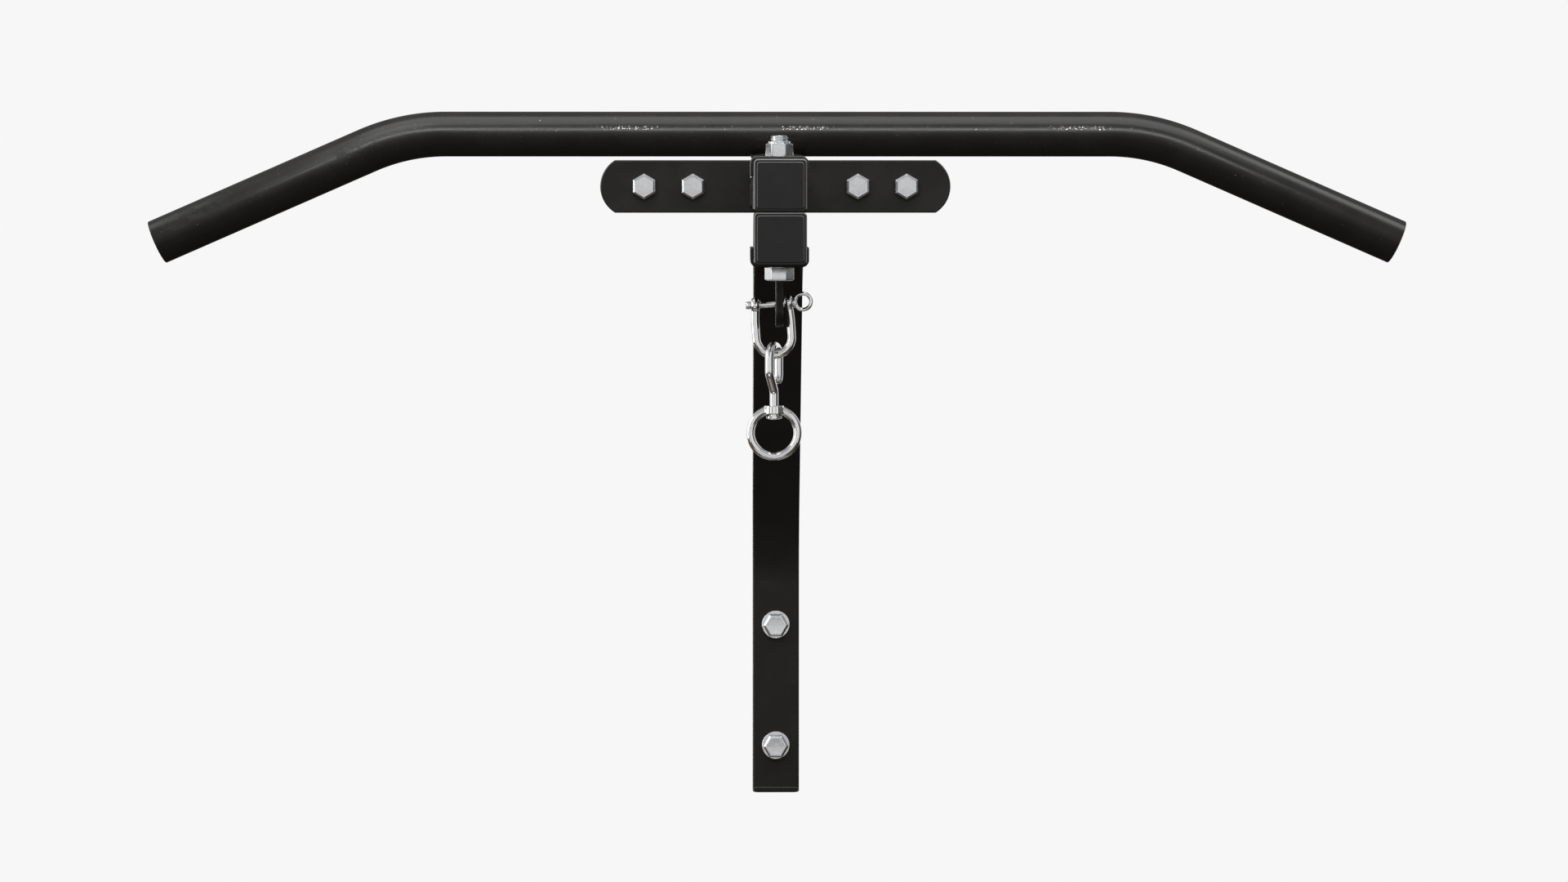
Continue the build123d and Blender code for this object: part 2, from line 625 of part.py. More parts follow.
def build():
    """Build every sub-part and write its STEP file."""
    os.makedirs("parts", exist_ok=True)
    arm_end = Plane(origin=(0, -REACH, 0), x_dir=(1, 0, 0), z_dir=(0, -1, 0))
    brace_end = Plane(origin=(0, -REACH, BRACE_MID_Z), x_dir=(1, 0, 0), z_dir=(0, -1, 0))
    foot_end = Plane(origin=(0, -TUBE / 2, BRACE_END_Z), x_dir=(1, 0, 0), z_dir=(0, 0, -1))
    save("wall_plate", make_wall_plate())
    save_group("plate_screws", make_plate_screws())
    save("arm_tube", make_arm_tube())
    save("arm_weld", make_arm_weld())
    save("arm_cap", tube_cap(arm_end))
    save("brace_tube", make_brace_tube())
    save("brace_cap", tube_cap(brace_end))
    save("foot_cap", tube_cap(foot_end))
    save_group("foot_screws", make_foot_screws())
    save_group("foot_washers", make_foot_washers())
    save("top_saddle", make_saddle(TUBE / 2, TOP_SADDLE_LONG, False))
    save("bottom_saddle", make_saddle(BRACE_TOP_Z - TUBE, BOTTOM_SADDLE_LONG, True))
    save("hanger_bolt", make_hanger_bolt())
    save("lock_nut", make_lock_nut())
    save("nut_insert", make_nut_insert())
    save("bar_tube", make_bar_tube())
    save_group("bar_plugs", make_bar_plugs())
    save("bar_bracket", make_bar_bracket())
    save_group("bar_welds", make_bar_welds())
    save_group("bracket_welds", make_bracket_welds())
    save("hanger_lug", make_lug())
    save_group("lug_welds", make_lug_welds())
    save("shackle_bow", make_shackle_bow())
    save("shackle_pin", make_shackle_pin())
    save("swivel_hook", make_swivel_hook())
    save("swivel_collar", make_swivel_collar())
    save("swivel_ring", make_swivel_ring())


build()
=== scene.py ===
import json
import math
import random

import bpy
from mathutils import Matrix, Vector


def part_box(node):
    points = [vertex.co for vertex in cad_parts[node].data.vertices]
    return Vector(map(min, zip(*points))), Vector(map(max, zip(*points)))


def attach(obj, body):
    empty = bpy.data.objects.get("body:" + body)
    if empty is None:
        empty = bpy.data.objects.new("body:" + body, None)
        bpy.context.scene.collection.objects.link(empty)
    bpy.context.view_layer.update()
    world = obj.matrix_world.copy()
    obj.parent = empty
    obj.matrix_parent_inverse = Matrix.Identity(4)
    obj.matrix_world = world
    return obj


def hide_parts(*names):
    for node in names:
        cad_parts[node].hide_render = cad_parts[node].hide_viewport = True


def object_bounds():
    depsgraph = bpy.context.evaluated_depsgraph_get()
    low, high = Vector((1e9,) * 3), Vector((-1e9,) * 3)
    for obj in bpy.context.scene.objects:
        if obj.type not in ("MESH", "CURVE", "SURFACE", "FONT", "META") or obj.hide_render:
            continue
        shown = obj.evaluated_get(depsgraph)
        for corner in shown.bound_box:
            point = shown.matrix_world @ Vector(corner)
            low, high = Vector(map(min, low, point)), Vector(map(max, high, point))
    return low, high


# The looks of a wall-mounted pull-up bar with a punch bag hanger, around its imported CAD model.
# Everything is in metres, in the CAD's own frame: +X right, +Y into the wall, +Z up.

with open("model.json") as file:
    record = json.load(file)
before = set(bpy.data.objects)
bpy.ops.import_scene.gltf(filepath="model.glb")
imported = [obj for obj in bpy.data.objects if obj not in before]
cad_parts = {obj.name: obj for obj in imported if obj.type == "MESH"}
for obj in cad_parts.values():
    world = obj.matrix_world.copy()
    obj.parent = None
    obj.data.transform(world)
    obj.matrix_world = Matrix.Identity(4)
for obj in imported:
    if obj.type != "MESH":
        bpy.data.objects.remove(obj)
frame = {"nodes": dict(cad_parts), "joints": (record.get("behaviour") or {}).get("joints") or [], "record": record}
cad_low, cad_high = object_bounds()
scene = bpy.context.scene
joints = {joint["name"]: joint for joint in frame["joints"]}
UP = Vector((0, 0, 1))
BACK = Vector((0, 1, 0))
RIGHT = Vector((1, 0, 0))


# ---- Materials -------------------------------------------------------------------------------

class Look:
    """A node material in the making: its nodes, its links and its main shader."""

    def __init__(self, name):
        self.material = bpy.data.materials.new(name)
        self.material.use_nodes = True
        self.tree = self.material.node_tree
        self.shader = self.tree.nodes["Principled BSDF"]
        self.place = self.add("ShaderNodeTexCoord").outputs["Object"]

    def add(self, kind, **settings):
        """A new node with its plain settings made."""
        node = self.tree.nodes.new(kind)
        for key, value in settings.items():
            setattr(node, key, value)
        return node

    def link(self, source, target):
        """Wire an output socket to an input socket."""
        self.tree.links.new(source, target)

    def noise(self, scale, detail=3.0, rough=0.5, stretch=(1, 1, 1)):
        """Noise from 0 to 1, with scale in cells per metre, stretched along the axes."""
        mapping = self.add("ShaderNodeMapping")
        mapping.inputs["Scale"].default_value = stretch
        self.link(self.place, mapping.inputs["Vector"])
        node = self.add("ShaderNodeTexNoise")
        node.inputs["Scale"].default_value = scale
        node.inputs["Detail"].default_value = detail
        node.inputs["Roughness"].default_value = rough
        self.link(mapping.outputs["Vector"], node.inputs["Vector"])
        return node.outputs["Fac"]

    def spread(self, source, low, high, out_low=0.0, out_high=1.0):
        """Map a value from one range to another, smoothly and clamped."""
        node = self.add("ShaderNodeMapRange", interpolation_type="SMOOTHSTEP")
        settings = (("From Min", low), ("From Max", high),
                    ("To Min", out_low), ("To Max", out_high))
        for key, value in settings:
            node.inputs[key].default_value = value
        self.link(source, node.inputs["Value"])
        return node.outputs["Result"]

    def math(self, operation, first, second):
        """One step of arithmetic on sockets or numbers."""
        node = self.add("ShaderNodeMath", operation=operation)
        for socket, value in zip(node.inputs, (first, second)):
            if isinstance(value, (int, float)):
                socket.default_value = value
            else:
                self.link(value, socket)
        return node.outputs["Value"]

    def tint(self, factor, first, second):
        """Blend from a first colour, plain or a socket, to a second one."""
        node = self.add("ShaderNodeMix", data_type="RGBA")
        self.link(factor, node.inputs["Factor"])
        for socket, value in ((node.inputs["A"], first), (node.inputs["B"], second)):
            if isinstance(value, tuple):
                socket.default_value = (*value, 1.0)
            else:
                self.link(value, socket)
        return node.outputs["Result"]

    def bump(self, height, depth, below=None):
        """Bump with its depth in metres, on top of another bump if one is given."""
        node = self.add("ShaderNodeBump")
        node.inputs["Strength"].default_value = 1.0
        node.inputs["Distance"].default_value = depth
        self.link(height, node.inputs["Height"])
        if below is not None:
            self.link(below, node.inputs["Normal"])
        return node.outputs["Normal"]

    def along(self, axis):
        """Position along one axis of the object, in metres."""
        split = self.add("ShaderNodeSeparateXYZ")
        self.link(self.place, split.inputs["Vector"])
        return split.outputs[axis]

    def zone(self, position, middle, half):
        """One near a middle position, falling to zero past half a width from it."""
        distance = self.math("ABSOLUTE", self.math("SUBTRACT", position, middle), 0.0)
        return self.spread(distance, 0.5 * half, 1.5 * half, 1.0, 0.0)

    def bevel_highlight(self):
        """Mask of a painted highlight on bevelled edges: one on faces slanted by 45 degrees from the front, but
        not downwards.
        """
        split = self.add("ShaderNodeSeparateXYZ")
        self.link(self.tree.nodes["Texture Coordinate"].outputs["Normal"], split.inputs["Vector"])
        slanted = self.zone(split.outputs["Y"], *BEVEL_SLANT)
        return self.math("MULTIPLY", slanted, self.spread(split.outputs["Z"], *BEVEL_LIFT))

    def finish(self, color=None, rough=None, normal=None, metal=None, **sockets):
        """Wire colour, roughness, normal and metal, and set the other sockets to plain values."""
        wired = (("Base Color", color), ("Roughness", rough),
                 ("Normal", normal), ("Metallic", metal))
        for key, source in wired:
            if source is not None:
                self.link(source, self.shader.inputs[key])
        for key, value in sockets.items():
            self.shader.inputs[key.replace("_", " ")].default_value = value
        return self.material


# Normals of the edges that get a painted highlight: how far they slant to the front, and where they stop facing
# down
BEVEL_SLANT = (-0.707, 0.07)
BEVEL_LIFT = (-0.30, -0.10)

PAINT_IOR = 1.34
PAINT_DARK = (0.0115, 0.0109, 0.0102)
PAINT_PALE = (0.0142, 0.0131, 0.0123)
# Painted highlight: the paler colour laid on bevelled edges that face up or sideways
PAINT_EDGE_HIGHLIGHT = (0.040, 0.039, 0.037)

# Middle and half width of the places along the bar: with denser painted glints, and with scuffs; and of the line
# across it, where the front strip's highlight falls and the painted glints lie
GLINT_PLACES = ((-0.120, 0.026), (0.022, 0.022), (0.242, 0.026))
GLINT_LINE = (0.0463, 0.0016)
END_SCUFFS = ((-0.470, 0.022), (-0.335, 0.022))
# Painted glints: how many pale metal specks lie along the highlight line, and how they look
GLINT_ELSEWHERE = 0.25
GLINT_LIMIT = 0.745
GLINT_SPREAD = 0.145
GLINT_RIM = 0.03
GLINT_DEPTH = 0.00003
GLINT_METAL = 0.8
GLINT_COLOR = (0.62, 0.61, 0.58)
SCUFF_COLOR = (0.0085, 0.0082, 0.0078)
SCUFF_ROUGH = 0.20

PLASTIC_IOR = 1.34
PLASTIC_DARK = (0.0078, 0.0078, 0.0078)
PLASTIC_PALE = (0.0098, 0.0096, 0.0094)
# Painted highlight: the grey laid on the caps' bevelled edges that face up or sideways
PLASTIC_EDGE_HIGHLIGHT = (0.120, 0.120, 0.118)


def paint(look):
    """Satin black powder coat: a fine orange peel, a finer grain and a faintly cloudy gloss."""
    clouds = look.noise(38, 4.0)
    peel = look.noise(900, 2.0)
    grain = look.noise(4200, 1.0)
    color = look.tint(look.spread(clouds, 0.35, 0.68), PAINT_DARK, PAINT_PALE)
    rough = look.spread(clouds, 0.3, 0.7, 0.24, 0.28)
    normal = look.bump(grain, 0.000003, look.bump(peel, 0.000012))
    return color, rough, normal


def black_coat(name):
    """The bracket's paint, with a paler painted highlight on its bevelled edges."""
    look = Look(name)
    color, rough, normal = paint(look)
    # Painted highlight: bevelled edges that don't face down are tinted paler
    color = look.tint(look.bevel_highlight(), color, PAINT_EDGE_HIGHLIGHT)
    return look.finish(color, rough, normal, IOR=PAINT_IOR)


def coat_with_scuffs_and_glints(name):
    """The bar's paint: pale metal specks painted as glints along the line of the front strip's highlight, denser
    at three places along the bar, and dull scuffs towards the ends.
    """
    look = Look(name)
    color, rough, normal = paint(look)
    along = look.along("X")
    glint_density = GLINT_ELSEWHERE
    for middle, half in GLINT_PLACES:
        glint_density = look.math("MAXIMUM", glint_density, look.zone(along, middle, half))
    # Painted glints: the pale specks are kept to the height band where the front strip's highlight lies on the bar
    glint_density = look.math("MULTIPLY", glint_density, look.zone(look.along("Z"), *GLINT_LINE))
    specks = look.noise(1250, 2.0, 0.6, (0.8, 1, 1))
    limit = look.math("SUBTRACT", GLINT_LIMIT, look.math("MULTIPLY", glint_density, GLINT_SPREAD))
    glints = look.spread(look.math("SUBTRACT", specks, limit), 0.0, GLINT_RIM)
    scuffed = 0.0
    for middle, half in END_SCUFFS:
        scuffed = look.math("MAXIMUM", scuffed, look.zone(along, middle, half))
    smears = look.spread(look.noise(170, 5.0, 0.65, (0.5, 1, 1)), 0.50, 0.62)
    dull = look.math("MULTIPLY", smears, scuffed)
    color = look.tint(dull, color, SCUFF_COLOR)
    # Pale metal specks painted in as glints
    color = look.tint(glints, color, GLINT_COLOR)
    rough = look.math("ADD", rough, look.math("MULTIPLY", dull, SCUFF_ROUGH))
    normal = look.bump(look.math("SUBTRACT", 1.0, glints), GLINT_DEPTH, normal)
    metal = look.math("MULTIPLY", glints, GLINT_METAL)
    return look.finish(color, rough, normal, metal, IOR=PAINT_IOR)


def zinc(name):
    """Bright zinc plate: cool pale metal, faintly clouded, with a very fine grain."""
    look = Look(name)
    mottle = look.noise(260, 3.0, 0.55)
    fine = look.noise(2600, 2.0)
    color = look.tint(look.spread(mottle, 0.3, 0.7), (0.78, 0.80, 0.83), (0.88, 0.88, 0.885))
    rough = look.spread(mottle, 0.3, 0.7, 0.22, 0.28)
    normal = look.bump(fine, 0.0000003)
    return look.finish(color, rough, normal, Metallic=1.0)


def polished(name):
    """Polished steel with the soft waves and the hairlines that hand polishing leaves."""
    look = Look(name)
    waves = look.noise(90, 1.0)
    hair = look.noise(900, 3.0, 0.6, (1, 1, 4))
    color = look.tint(look.spread(hair, 0.4, 0.7), (0.90, 0.90, 0.905), (0.84, 0.84, 0.85))
    rough = look.spread(hair, 0.4, 0.75, 0.05, 0.11)
    normal = look.bump(waves, 0.00003)
    return look.finish(color, rough, normal, Metallic=1.0)


def black_plastic(name):
    """Moulded black plastic with a fine grain, and a grey painted highlight on its bevelled edges."""
    look = Look(name)
    grain = look.noise(2600, 2.0)
    clouds = look.noise(60, 3.0)
    color = look.tint(look.spread(clouds, 0.35, 0.65), PLASTIC_DARK, PLASTIC_PALE)
    rough = look.spread(grain, 0.3, 0.7, 0.32, 0.42)
    normal = look.bump(grain, 0.000006)
    # Painted highlight: bevelled edges that don't face down are tinted grey
    color = look.tint(look.bevel_highlight(), color, PLASTIC_EDGE_HIGHLIGHT)
    return look.finish(color, rough, normal, IOR=PLASTIC_IOR)


def nylon(name):
    """Natural nylon, milky and slightly soft inside."""
    look = Look(name)
    clouds = look.noise(300, 2.0)
    color = look.tint(look.spread(clouds, 0.3, 0.7), (0.72, 0.72, 0.68), (0.80, 0.80, 0.77))
    rough = look.spread(clouds, 0.3, 0.7, 0.42, 0.5)
    return look.finish(color, rough, Subsurface_Weight=0.2, Subsurface_Scale=0.001)


LOOKS = {
    "black_coat": black_coat("black_coat"),
    "black_weld": black_coat("black_weld"),
    "black_plastic": black_plastic("black_plastic"),
    "zinc": zinc("zinc"),
    "polished": polished("polished"),
    "nylon": nylon("nylon"),
}
COAT_WITH_SCUFFS_AND_GLINTS = coat_with_scuffs_and_glints("coat_with_scuffs_and_glints")


def paint_cad_nodes():
    """Give every CAD node the look of its material slot in the record."""
    for part in frame["record"]["subparts"]:
        node = frame["nodes"][part["node"]]
        node.data.materials.clear()
        node.data.materials.append(LOOKS[part["material_slot"]])


# ---- Studio ----------------------------------------------------------------------------------

BACKGROUND = 0.93
CAMERA_AT = Vector((-0.0300, -3.4810, -0.0053))
CAMERA_PITCH = -3.54
CAMERA_YAW = 0.617
CAMERA_LENS = 92.19


def make_camera():
    """A camera with a long lens in front of the wall, level with the arm."""
    data = bpy.data.cameras.new("camera")
    data.sensor_width = 36.0
    data.lens = CAMERA_LENS
    data.clip_end = 50.0
    camera = bpy.data.objects.new("camera", data)
    camera.location = CAMERA_AT
    camera.rotation_euler = (math.radians(90 + CAMERA_PITCH), 0, math.radians(-CAMERA_YAW))
    scene.collection.objects.link(camera)
    scene.camera = camera


# The room's colour from below to above, and how much it dims behind and on the right
SKY_LOW = -0.40
SKY_HIGH = 0.10
SKY_BELOW = (0.10, 0.088, 0.072)
SKY_ABOVE = (0.45, 0.45, 0.455)
SKY_BEHIND_SPAN = (0.1, 0.8)
SKY_BEHIND = 0.45
SKY_RIGHT_SPAN = (0.45, 0.85)
SKY_RIGHT = 0.30


def make_world():
    """A pale backdrop for the camera, and a soft room for the light: dark and warm below."""
    world = bpy.data.worlds.new("studio")
    scene.world = world
    world.use_nodes = True
    tree = world.node_tree
    tree.nodes.clear()

    def add(kind, **inputs):
        node = tree.nodes.new(kind)
        for key, value in inputs.items():
            node.inputs[key.replace("_", " ")].default_value = value
        return node

    def fade(source, low, high, start=0.0, end=1.0):
        node = add("ShaderNodeMapRange", From_Min=low, From_Max=high, To_Min=start, To_Max=end)
        node.interpolation_type = "SMOOTHSTEP"
        tree.links.new(source, node.inputs["Value"])
        return node.outputs["Result"]

    split = add("ShaderNodeSeparateXYZ")
    tree.links.new(add("ShaderNodeTexCoord").outputs["Generated"], split.inputs["Vector"])
    shade = add("ShaderNodeMix")
    shade.data_type = "RGBA"
    shade.inputs["A"].default_value = (*SKY_BELOW, 1)
    shade.inputs["B"].default_value = (*SKY_ABOVE, 1)
    tree.links.new(fade(split.outputs["Z"], SKY_LOW, SKY_HIGH), shade.inputs["Factor"])
    dimmed = add("ShaderNodeMath")
    dimmed.operation = "MULTIPLY"
    behind = fade(split.outputs["Y"], *SKY_BEHIND_SPAN, 1.0, SKY_BEHIND)
    right = fade(split.outputs["X"], *SKY_RIGHT_SPAN, 1.0, SKY_RIGHT)
    tree.links.new(behind, dimmed.inputs[0])
    tree.links.new(right, dimmed.inputs[1])
    room = add("ShaderNodeBackground")
    tree.links.new(shade.outputs["Result"], room.inputs["Color"])
    tree.links.new(dimmed.outputs["Value"], room.inputs["Strength"])
    backdrop = add("ShaderNodeBackground", Color=(BACKGROUND, BACKGROUND, BACKGROUND, 1))
    mix = add("ShaderNodeMixShader")
    seen = add("ShaderNodeLightPath").outputs["Is Camera Ray"]
    tree.links.new(seen, mix.inputs["Fac"])
    tree.links.new(room.outputs["Background"], mix.inputs[1])
    tree.links.new(backdrop.outputs["Background"], mix.inputs[2])
    surface = add("ShaderNodeOutputWorld").inputs["Surface"]
    tree.links.new(mix.outputs["Shader"], surface)


def light_group(name, state):
    """The bare metal pieces as a light linking group, to be lit or left out by some lights."""
    group = bpy.data.collections.new(name)
    metal = {LOOKS["zinc"].name, LOOKS["polished"].name}
    for piece in [piece for piece in scene.objects if piece.type == "MESH"]:
        if piece.data.materials and piece.data.materials[0].name in metal:
            group.objects.link(piece)
    for entry in group.collection_objects:
        entry.light_linking.link_state = state
    return group


LIGHT_TARGET = Vector((0, -0.25, -0.1))


def softbox(name, azimuth, elevation, distance, wide, high, radiance, lit, blockers):
    """Area light that faces the object. Azimuth 0 is the camera's side, 90 the right."""
    a, e = math.radians(azimuth), math.radians(elevation)
    away = Vector((math.sin(a) * math.cos(e), -math.cos(a) * math.cos(e), math.sin(e)))
    data = bpy.data.lights.new(name, "AREA")
    data.shape = "RECTANGLE"
    data.size = wide
    data.size_y = high
    data.energy = radiance * math.pi * wide * high
    light = bpy.data.objects.new(name, data)
    light.location = LIGHT_TARGET + away * distance
    light.rotation_euler = away.to_track_quat("Z", "Y").to_euler()
    light.visible_camera = False
    light.light_linking.receiver_collection = lit
    light.light_linking.blocker_collection = blockers
    scene.collection.objects.link(light)


# Name, azimuth, elevation, distance, width, height and radiance of each box
PAINT_LIGHTS = (
    ("overhead", 0, 76, 2.4, 3.2, 1.9, 3.1),
    ("front_strip", 0, 26, 3.2, 3.0, 0.44, 13.0),
    ("left_box", -95, 22, 3.0, 1.4, 2.2, 4.5),
    ("left_back_box", -140, -6, 3.0, 1.8, 1.0, 5.0),
    ("left_top_box", -30, 44, 2.8, 0.9, 1.2, 4.0),
    ("right_box", 90, 44, 3.0, 1.2, 1.4, 4.0),
)
METAL_LIGHTS = (
    ("metal_top", 0, 74, 2.4, 1.6, 1.2, 1.4),
    ("metal_front", 0, 38, 3.2, 1.0, 0.6, 1.1),
    ("metal_face", 0, -3, 3.4, 1.9, 1.2, 0.44),
    ("metal_left", -82, 8, 3.0, 1.6, 2.8, 2.3),
    ("metal_left_strip", -38, 5, 3.2, 0.5, 2.8, 1.4),
    ("metal_right_strip", 36, 5, 3.2, 0.6, 2.8, 1.2),
    ("metal_right", 84, 30, 3.0, 1.6, 1.4, 0.25),
    ("metal_left_back", -138, 5, 3.0, 1.8, 2.8, 0.9),
    ("metal_right_back", 140, 5, 3.0, 1.8, 2.8, 0.8),
    ("metal_low", -10, -34, 3.0, 2.2, 0.9, 0.8),
    ("metal_under", 0, -78, 2.4, 2.4, 1.4, 0.2),
    ("metal_low_back", 180, -35, 3.0, 2.4, 1.0, 0.7),
)


def make_lights():
    """Hard bright boxes for the dark paint, and a softer tent of bands for the bare metal."""
    paint_only = light_group("paint_lights", "EXCLUDE")
    metal_only = light_group("metal_lights", "INCLUDE")
    for light in PAINT_LIGHTS:
        softbox(*light, paint_only, None)
    for light in METAL_LIGHTS:
        softbox(*light, metal_only, metal_only)


FLOOR_DROP = 0.70
FLOOR_RADII = (0.5, 1.5, 3.0)


def make_floor():
    """A wide pale floor, well below the hanging object."""
    level = cad_low.z - FLOOR_DROP
    rings = [[Vector((r * x, r * y, level)) for x, y in circle(96)] for r in FLOOR_RADII]
    look = Look("pale_floor")
    clouds = look.noise(3, 3.0)
    color = look.tint(look.spread(clouds, 0.3, 0.7), (0.80, 0.80, 0.80), (0.82, 0.82, 0.82))
    rough = look.spread(clouds, 0.3, 0.7, 0.7, 0.8)
    floor = mesh_object("pale_floor", *ring_mesh(rings, cap_start=True), look.finish(color, rough))
    floor.visible_glossy = False
    floor.visible_diffuse = False


# ---- Mesh building ---------------------------------------------------------------------------

def ring_mesh(rings, cap_start=False, cap_end=False, closed=False):
    """Vertices and faces of a skin over rings of equally many points."""
    count = len(rings[0])
    verts = [point for ring in rings for point in ring]
    faces = []
    spans = len(rings) if closed else len(rings) - 1
    for i in range(spans):
        a, b = i * count, (i + 1) % len(rings) * count
        for j in range(count):
            k = (j + 1) % count
            faces.append((a + j, a + k, b + k, b + j))
    if cap_start:
        faces.append(tuple(reversed(range(count))))
    if cap_end:
        faces.append(tuple(range(len(verts) - count, len(verts))))
    return verts, faces


def mesh_object(name, verts, faces, material, smooth=40.0):
    """A mesh object with its look, shaded smooth below an angle in degrees."""
    mesh = bpy.data.meshes.new(name)
    mesh.from_pydata([tuple(v) for v in verts], [], faces)
    mesh.validate()
    mesh.materials.append(material)
    mesh.polygons.foreach_set("use_smooth", [True] * len(mesh.polygons))
    mesh.set_sharp_from_angle(angle=math.radians(smooth))
    piece = bpy.data.objects.new(name, mesh)
    scene.collection.objects.link(piece)
    return piece


def add_piece(name, shells, body, slot, *nodes, smooth=40.0, look=None):
    """One piece made of closed skins, which rides on a body and may stand for CAD nodes."""
    verts, faces = [], []
    for shell_verts, shell_faces in shells:
        start = len(verts)
        verts += shell_verts
        faces += [tuple(start + i for i in face) for face in shell_faces]
    piece = mesh_object(name, verts, faces, look or LOOKS[slot], smooth)
    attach(piece, body)
    if nodes:
        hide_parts(*nodes)
    return piece


def bake_modifiers(piece, smooth=180.0):
    """Apply the modifiers of a piece to its mesh."""
    graph = bpy.context.evaluated_depsgraph_get()
    mesh = bpy.data.meshes.new_from_object(piece.evaluated_get(graph))
    piece.modifiers.clear()
    piece.data = mesh
    mesh.polygons.foreach_set("use_smooth", [True] * len(mesh.polygons))
    mesh.set_sharp_from_angle(angle=math.radians(smooth))


def soften_edges(piece, width, angle=35.0, segments=2):
    """Round the sharp edges of a piece a little."""
    bevel = piece.modifiers.new("soft_edges", "BEVEL")
    bevel.width = width
    bevel.segments = segments
    bevel.limit_method = "ANGLE"
    bevel.angle_limit = math.radians(angle)
    bevel.use_clamp_overlap = True
    bake_modifiers(piece, 60.0)


def fuse(piece, voxel, passes):
    """Melt the skins of a piece into one, with soft blends where they meet."""
    remesh = piece.modifiers.new("melt", "REMESH")
    remesh.mode = "VOXEL"
    remesh.voxel_size = voxel
    soften = piece.modifiers.new("soften", "SMOOTH")
    soften.factor = 0.5
    soften.iterations = passes
    bake_modifiers(piece)


def bore(piece, start, axis, side, radius, length):
    """Drill a round hole through a piece."""
    shape = solid_lathe(start, axis, side, [(0, radius), (length, radius)], SHANK_SIDES)
    drill = mesh_object("drill", *shape, piece.data.materials[0])
    cut = piece.modifiers.new("bore", "BOOLEAN")
    cut.operation = "DIFFERENCE"
    cut.solver = "EXACT"
    cut.object = drill
    bake_modifiers(piece, 50.0)
    bpy.data.objects.remove(drill)


def round_shape(angle):
    """Radius of a circle, at any angle."""
    return 1.0


def polygon_shape(sides):
    """Radius of a polygon around a unit circle, by angle, with a flat at angle 0."""
    step = math.tau / sides

    def shape(angle):
        return 1 / math.cos((angle + step / 2) % step - step / 2)

    return shape


hexagon = polygon_shape(6)
LATHE_SIDES = 72
SHANK_SIDES = 48


def lathe(origin, axis, side, profile, count=LATHE_SIDES, shape=round_shape, turn=0.0):
    """Rings around an axis from (height, radius) pairs. The shape may also be a polygon."""
    across = axis.cross(side)
    rings = []
    for height, radius in profile:
        ring = []
        for i in range(count):
            t = math.tau * i / count
            r = radius * shape(t)
            ring.append(origin + axis * height + side * r * math.cos(t + turn)
                        + across * r * math.sin(t + turn))
        rings.append(ring)
    return rings


def solid_lathe(*args, **settings):
    """A lathed skin with both its ends closed."""
    return ring_mesh(lathe(*args, **settings), cap_start=True, cap_end=True)


def rounded_path(corners, radius, step):
    """Points along straight runs joined by arcs of one radius."""
    points = [corners[0]]
    for before, corner, after in zip(corners, corners[1:], corners[2:]):
        back = (before - corner).normalized()
        ahead = (after - corner).normalized()
        half = back.angle(ahead) / 2
        centre = corner + (back + ahead).normalized() * radius / math.sin(half)
        start = corner + back * radius / math.tan(half) - centre
        turn = math.pi - 2 * half
        normal = start.cross(ahead).normalized()
        count = max(4, math.ceil(radius * turn / step))
        points += [centre + Matrix.Rotation(turn * i / count, 3, normal) @ start
                   for i in range(count + 1)]
    return points + [corners[-1]]


def sweep_rings(path, radii, outline, side):
    """Rings of an outline carried along a path. Radii scale the outline at each point."""
    rings = []
    for i, (point, radius) in enumerate(zip(path, radii)):
        along = (path[min(i + 1, len(path) - 1)] - path[max(i - 1, 0)]).normalized()
        across = (side - along * side.dot(along)).normalized()
        up = along.cross(across)
        rings.append([point + (across * x + up * y) * radius for x, y in outline])
    return rings


def circle(count):
    """Points around a unit circle."""
    return [(math.cos(math.tau * i / count), math.sin(math.tau * i / count)) for i in range(count)]


THREAD_STEPS = 12
THREAD_FLAT = 1.25
THREAD_TIP = 0.12


def thread_skin(origin, axis, side, low, high, core, crest, pitch, tooth, taper=0.0):
    """A screw thread: a skin whose radius climbs and falls along a helix, tapered at its end."""
    steps = math.ceil((high - low) / pitch * THREAD_STEPS)
    across = axis.cross(side)
    rings = []
    for k in range(steps + 1):
        height = low + (high - low) * k / steps
        left = min(1.0, (high - height) / taper) if taper else 1.0
        lead = min(1.0, (height - low) / pitch)
        ring = []
        for i in range(SHANK_SIDES):
            t = math.tau * i / SHANK_SIDES
            phase = (height / pitch - i / SHANK_SIDES) % 1.0
            ridge = max(0.0, 1 - abs(phase - 0.5) / tooth)
            r = core + (crest - core) * min(1.0, THREAD_FLAT * ridge) * lead
            r *= THREAD_TIP + (1 - THREAD_TIP) * left
            ring.append(origin + axis * height + (side * math.cos(t) + across * math.sin(t)) * r)
        rings.append(ring)
    return ring_mesh(rings, cap_start=True, cap_end=True)


RIPPLE = 0.0017
RIPPLE_STEPS = 5
RIPPLE_DEPTH = 0.16
RIPPLE_SPREAD = 0.05
BEAD_SIDES = 20
BEAD_END = 0.35
BEAD_END_RISE = 4.0


